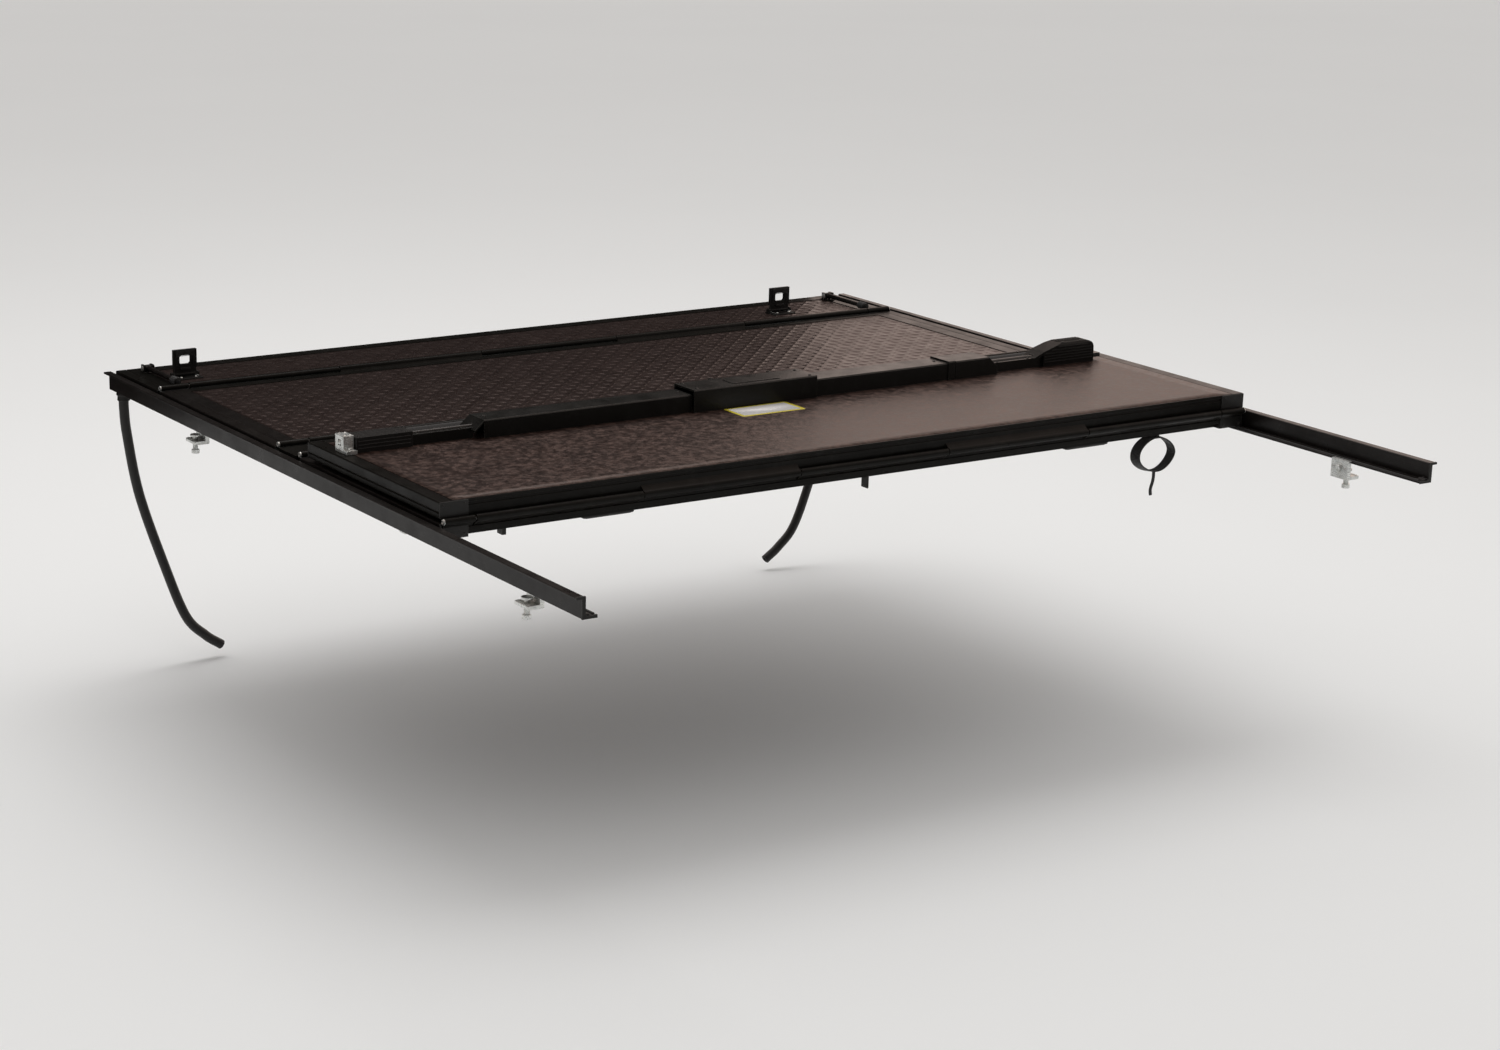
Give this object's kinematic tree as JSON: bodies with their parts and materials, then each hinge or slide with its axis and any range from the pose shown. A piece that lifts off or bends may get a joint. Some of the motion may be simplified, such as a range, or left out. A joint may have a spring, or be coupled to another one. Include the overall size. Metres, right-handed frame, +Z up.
{
  "type": "hard folding truck bed cover",
  "caption": "Hard folding cover for a pickup truck bed: tread-skinned panels hinged in a row on clamped side rails, with the rear panel folded forward, latches underside up.",
  "frame": {"origin": "middle of the flat underside of the cab-side edge bar, where the cover rests on the bed's front wall", "axes": "+X to the truck's right-hand side, +Y to the cab, +Z up"},
  "size_m": [1.612, 1.621, 0.6054],
  "materials": {
    "rail_black": "black anodised extrusion, semi-gloss, with light edge highlights",
    "frame_black": "black powder-coated extrusion, satin, with grooves along its length",
    "tread_skin": "dark brown-black sheet with a raised tread pattern on top and a fine leathery underside",
    "latch_black": "black folded steel and moulded plastic, satin",
    "zinc": "bright zinc plate",
    "moulded_black": "black moulded nylon, ribbed",
    "black_rubber": "matte black rubber",
    "webbing": "black woven webbing"
  },
  "bodies": {
    "rails": {"rail_right": "rail_black", "rail_left": "rail_black", "front_frame": "frame_black", "front_board": "tread_skin", "front_hinge_bar": "frame_black", "hinge_pin_front": "zinc", "prop_bracket_left": "latch_black", "prop_bracket_right": "latch_black", "buckle_base_left": "moulded_black", "buckle_base_right": "moulded_black", "clamp_body_front_left": "zinc", "clamp_body_front_right": "zinc", "clamp_body_rear_left": "zinc", "clamp_body_rear_right": "zinc", "drain_hose_left": "black_rubber", "drain_hose_right": "black_rubber"},
    "second_panel": {"second_board": "tread_skin", "second_side_right": "frame_black", "second_side_left": "frame_black", "second_front_bar": "frame_black", "second_tail_bar": "frame_black", "hinge_pin_second": "zinc"},
    "link": {"hinge_link": "frame_black", "hinge_pin_link": "zinc"},
    "third_panel": {"third_board": "tread_skin", "third_side_right": "frame_black", "third_side_left": "frame_black", "third_front_bar": "frame_black", "third_tail_bar": "frame_black", "hinge_pin_third": "zinc", "mid_latch_cover": "latch_black", "mid_guide_left": "moulded_black", "mid_guide_right": "moulded_black"},
    "mid_latch_right": {"mid_bolt_right": "zinc", "mid_pull_strap": "webbing"},
    "mid_latch_left": {"mid_bolt_left": "zinc"},
    "mid_latch_hub": {"mid_hub": "zinc"},
    "rear_panel": {"rear_board": "tread_skin", "rear_side_right": "frame_black", "rear_side_left": "frame_black", "rear_front_bar": "frame_black", "rear_tail_bar": "frame_black", "rear_cover_left": "latch_black", "rear_cover_right": "latch_black", "rear_latch_housing": "latch_black", "rear_guide_left": "moulded_black", "rear_bracket_left": "zinc", "rear_guide_right": "moulded_black"},
    "rear_latch_left": {"rear_bolt_left": "latch_black"},
    "rear_latch_right": {"rear_bolt_right": "latch_black"},
    "rear_release": {"rear_release_paddle": "moulded_black"},
    "prop_left": {"prop_rod_left": "latch_black"},
    "prop_right": {"prop_rod_right": "latch_black"},
    "buckle_left": {"buckle_clip_left": "moulded_black"},
    "buckle_right": {"buckle_clip_right": "moulded_black"},
    "clamp_front_left": {"clamp_screw_front_left": "zinc"},
    "clamp_front_right": {"clamp_screw_front_right": "zinc"},
    "clamp_rear_left": {"clamp_screw_rear_left": "zinc"},
    "clamp_rear_right": {"clamp_screw_rear_right": "zinc"}
  },
  "joints": [
    {"name": "lift", "type": "hinge", "parent": "rails", "child": "second_panel", "pos_m": [0, -0.172, 0.035], "axis": [-1, 0, 0], "range_deg": [0, 75]},
    {"name": "mid_fold", "type": "hinge", "parent": "second_panel", "child": "link", "pos_m": [0, -0.638, 0.035], "axis": [-1, 0, 0], "range_deg": [0, 90]},
    {"name": "mid_fold_upper", "type": "hinge", "parent": "link", "child": "third_panel", "pos_m": [0, -0.716, 0.035], "axis": [-1, 0, 0], "range_deg": [0, 90.1]},
    {"name": "rear_fold", "type": "hinge", "parent": "third_panel", "child": "rear_panel", "pos_m": [0, -1.188, 0.035], "axis": [-1, 0, 0], "range_deg": [-180, 0]},
    {"name": "mid_pull", "type": "slide", "parent": "third_panel", "child": "mid_latch_right", "axis": [1, 0, 0], "range_m": [-0.027, 0]},
    {"name": "mid_bolt_left_slide", "type": "slide", "parent": "third_panel", "child": "mid_latch_left", "axis": [-1, 0, 0], "range_m": [-0.0271, 0]},
    {"name": "mid_hub_turn", "type": "hinge", "parent": "third_panel", "child": "mid_latch_hub", "pos_m": [0, -1.042, -0.0175], "axis": [0, 0, 1], "range_deg": [-81, 0]},
    {"name": "rear_bolt_right_slide", "type": "slide", "parent": "rear_panel", "child": "rear_latch_right", "axis": [1, 0, 0], "range_m": [-0.034, 0]},
    {"name": "rear_bolt_left_slide", "type": "slide", "parent": "rear_panel", "child": "rear_latch_left", "axis": [-1, 0, 0], "range_m": [-0.0341, 0]},
    {"name": "rear_release", "type": "hinge", "parent": "rear_panel", "child": "rear_release", "pos_m": [0, -0.8014, 0.097], "axis": [-1, 0, 0], "range_deg": [-35.1, 0]},
    {"name": "prop_left_raise", "type": "hinge", "parent": "rails", "child": "prop_left", "pos_m": [-0.738, -0.024, 0.04], "axis": [-1, 0, 0], "range_deg": [0, 95]},
    {"name": "prop_right_raise", "type": "hinge", "parent": "rails", "child": "prop_right", "pos_m": [0.738, -0.024, 0.04], "axis": [-1, 0, 0], "range_deg": [0, 95]},
    {"name": "buckle_left_fold", "type": "hinge", "parent": "rails", "child": "buckle_left", "pos_m": [-0.695, -0.087, 0.037], "axis": [-1, 0, 0], "range_deg": [0, 85]},
    {"name": "buckle_right_fold", "type": "hinge", "parent": "rails", "child": "buckle_right", "pos_m": [0.575, -0.087, 0.037], "axis": [-1, 0, 0], "range_deg": [0, 85]},
    {"name": "clamp_front_left_tighten", "type": "slide", "parent": "rails", "child": "clamp_front_left", "axis": [0, 0, 1], "range_m": [0, 0.009]},
    {"name": "clamp_front_right_tighten", "type": "slide", "parent": "rails", "child": "clamp_front_right", "axis": [0, 0, 1], "range_m": [0, 0.009]},
    {"name": "clamp_rear_left_tighten", "type": "slide", "parent": "rails", "child": "clamp_rear_left", "axis": [0, 0, 1], "range_m": [0, 0.009]},
    {"name": "clamp_rear_right_tighten", "type": "slide", "parent": "rails", "child": "clamp_rear_right", "axis": [0, 0, 1], "range_m": [0, 0.009]}
  ],
  "couplings": [
    {"joint": "mid_fold_upper", "follows": "mid_fold", "ratio": 1},
    {"joint": "mid_bolt_left_slide", "follows": "mid_pull", "ratio": 1},
    {"joint": "mid_hub_turn", "follows": "mid_pull", "rad_per_m": 51.7},
    {"joint": "rear_bolt_left_slide", "follows": "rear_bolt_right_slide", "ratio": 1},
    {"joint": "rear_release", "follows": "rear_bolt_right_slide", "rad_per_m": 17.966}
  ]
}
